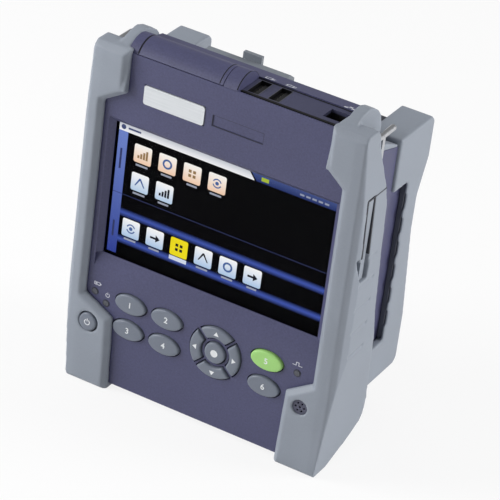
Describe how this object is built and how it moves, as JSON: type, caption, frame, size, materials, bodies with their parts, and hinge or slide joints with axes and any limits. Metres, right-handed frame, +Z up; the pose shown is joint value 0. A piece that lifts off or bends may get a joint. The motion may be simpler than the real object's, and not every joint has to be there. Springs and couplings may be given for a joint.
{
  "type": "optical time domain reflectometer",
  "caption": "Handheld upright fibre test set with a wide screen, oval keys and a round arrow pad, rubber corner bumpers, top connector bay and a plug-in optical module behind.",
  "frame": {"origin": "on the ground, below the middle of the whole instrument in width and depth", "axes": "+X to the user's right, +Y from the screen towards the module at the back, +Z up"},
  "size_m": [0.1392, 0.0736, 0.173],
  "materials": {
    "violet_plastic": "fine textured moulding",
    "bumper_rubber": "soft satin rubber",
    "key_rubber": "satin silicone",
    "green_rubber": "satin silicone",
    "dark_plastic": "fine textured moulding",
    "black_plastic": "matt moulding",
    "clear_glass": "polished",
    "panel_glass": "glossy display",
    "circuit_board": "solder mask",
    "silicone_mat": "matt silicone",
    "satin_plate": "satin",
    "light_pipe": "clear moulding",
    "steel": "satin",
    "zinc_adapter": "bright plating",
    "black_steel": "blackened",
    "battery_can": "wrapped cell pack",
    "stylus_plastic": "satin moulding"
  },
  "bodies": {
    "main": {"front_housing": "violet_plastic", "rear_housing": "violet_plastic", "bumper_left": "bumper_rubber", "bumper_right": "bumper_rubber", "strap_pad_left": "bumper_rubber", "strap_pad_right": "bumper_rubber", "battery_cover": "dark_plastic", "port_panel": "dark_plastic", "speaker_grille": "black_plastic", "network_port": "black_plastic", "docking_socket": "black_plastic", "speaker": "black_plastic", "power_inlet": "black_plastic", "screen_glass": "clear_glass", "lcd_panel": "panel_glass", "main_board": "circuit_board", "keypad_mat": "silicone_mat", "name_plate": "satin_plate", "status_lights": "light_pipe", "usb_port_left": "steel", "usb_port_right": "steel", "strap_hook_left": "steel", "strap_hook_right": "steel", "door_hinge_pin": "steel", "board_screws": "steel", "fault_locator_port": "zinc_adapter", "power_meter_port": "zinc_adapter", "housing_screws": "black_steel", "battery_pack": "battery_can"},
    "module": {"module_housing": "violet_plastic", "module_rear_cover": "dark_plastic", "module_bumper_left": "bumper_rubber", "module_bumper_right": "bumper_rubber", "module_grip_left": "dark_plastic", "module_grip_right": "dark_plastic", "module_board": "circuit_board", "optical_port_left": "zinc_adapter", "optical_port_right": "zinc_adapter", "module_screws": "steel", "thumb_screws": "black_steel", "docking_plug": "black_plastic", "module_cover_pin": "steel"},
    "door": {"port_door": "violet_plastic"},
    "module_lid": {"module_port_cover": "dark_plastic"},
    "pen": {"stylus": "stylus_plastic"},
    "key_left_high_body": {"key_left_high": "key_rubber"},
    "key_left_low_body": {"key_left_low": "key_rubber"},
    "key_middle_high_body": {"key_middle_high": "key_rubber"},
    "key_middle_low_body": {"key_middle_low": "key_rubber"},
    "key_right_high_body": {"key_right_high": "green_rubber"},
    "key_right_low_body": {"key_right_low": "key_rubber"},
    "arrow_up_body": {"arrow_up": "key_rubber"},
    "arrow_down_body": {"arrow_down": "key_rubber"},
    "arrow_left_body": {"arrow_left": "key_rubber"},
    "arrow_right_body": {"arrow_right": "key_rubber"},
    "centre_key_body": {"centre_key": "key_rubber"},
    "power_key_body": {"power_key": "key_rubber"}
  },
  "joints": [
    {"name": "module_pull", "type": "slide", "parent": "main", "child": "module", "axis": [0, 1, 0], "range_m": [0, 0.06]},
    {"name": "door_hinge", "type": "hinge", "parent": "main", "child": "door", "pos_m": [-0.0259, -0.0154, 0.1682], "axis": [-1, 0, 0], "range_deg": [0, 100]},
    {"name": "module_lid_hinge", "type": "hinge", "parent": "module", "child": "module_lid", "pos_m": [-0.02235, 0.0089, 0.1486], "axis": [1, 0, 0], "range_deg": [0, 75]},
    {"name": "stylus_pull", "type": "slide", "parent": "main", "child": "pen", "axis": [1, 0, 0], "range_m": [0, 0.03]},
    {"name": "key_left_high_press", "type": "slide", "parent": "main", "child": "key_left_high_body", "axis": [0, 1, 0], "range_m": [0, 0.0008], "stiffness_N_per_m": 1500},
    {"name": "key_left_low_press", "type": "slide", "parent": "main", "child": "key_left_low_body", "axis": [0, 1, 0], "range_m": [0, 0.0008], "stiffness_N_per_m": 1500},
    {"name": "key_middle_high_press", "type": "slide", "parent": "main", "child": "key_middle_high_body", "axis": [0, 1, 0], "range_m": [0, 0.0008], "stiffness_N_per_m": 1500},
    {"name": "key_middle_low_press", "type": "slide", "parent": "main", "child": "key_middle_low_body", "axis": [0, 1, 0], "range_m": [0, 0.0008], "stiffness_N_per_m": 1500},
    {"name": "key_right_high_press", "type": "slide", "parent": "main", "child": "key_right_high_body", "axis": [0, 1, 0], "range_m": [0, 0.0008], "stiffness_N_per_m": 1500},
    {"name": "key_right_low_press", "type": "slide", "parent": "main", "child": "key_right_low_body", "axis": [0, 1, 0], "range_m": [0, 0.0008], "stiffness_N_per_m": 1500},
    {"name": "arrow_up_press", "type": "slide", "parent": "main", "child": "arrow_up_body", "axis": [0, 1, 0], "range_m": [0, 0.0008], "stiffness_N_per_m": 1500},
    {"name": "arrow_down_press", "type": "slide", "parent": "main", "child": "arrow_down_body", "axis": [0, 1, 0], "range_m": [0, 0.0008], "stiffness_N_per_m": 1500},
    {"name": "arrow_left_press", "type": "slide", "parent": "main", "child": "arrow_left_body", "axis": [0, 1, 0], "range_m": [0, 0.0008], "stiffness_N_per_m": 1500},
    {"name": "arrow_right_press", "type": "slide", "parent": "main", "child": "arrow_right_body", "axis": [0, 1, 0], "range_m": [0, 0.0008], "stiffness_N_per_m": 1500},
    {"name": "centre_key_press", "type": "slide", "parent": "main", "child": "centre_key_body", "axis": [0, 1, 0], "range_m": [0, 0.0008], "stiffness_N_per_m": 1500},
    {"name": "power_key_press", "type": "slide", "parent": "main", "child": "power_key_body", "axis": [0, 1, 0], "range_m": [0, 0.0008], "stiffness_N_per_m": 1500}
  ]
}
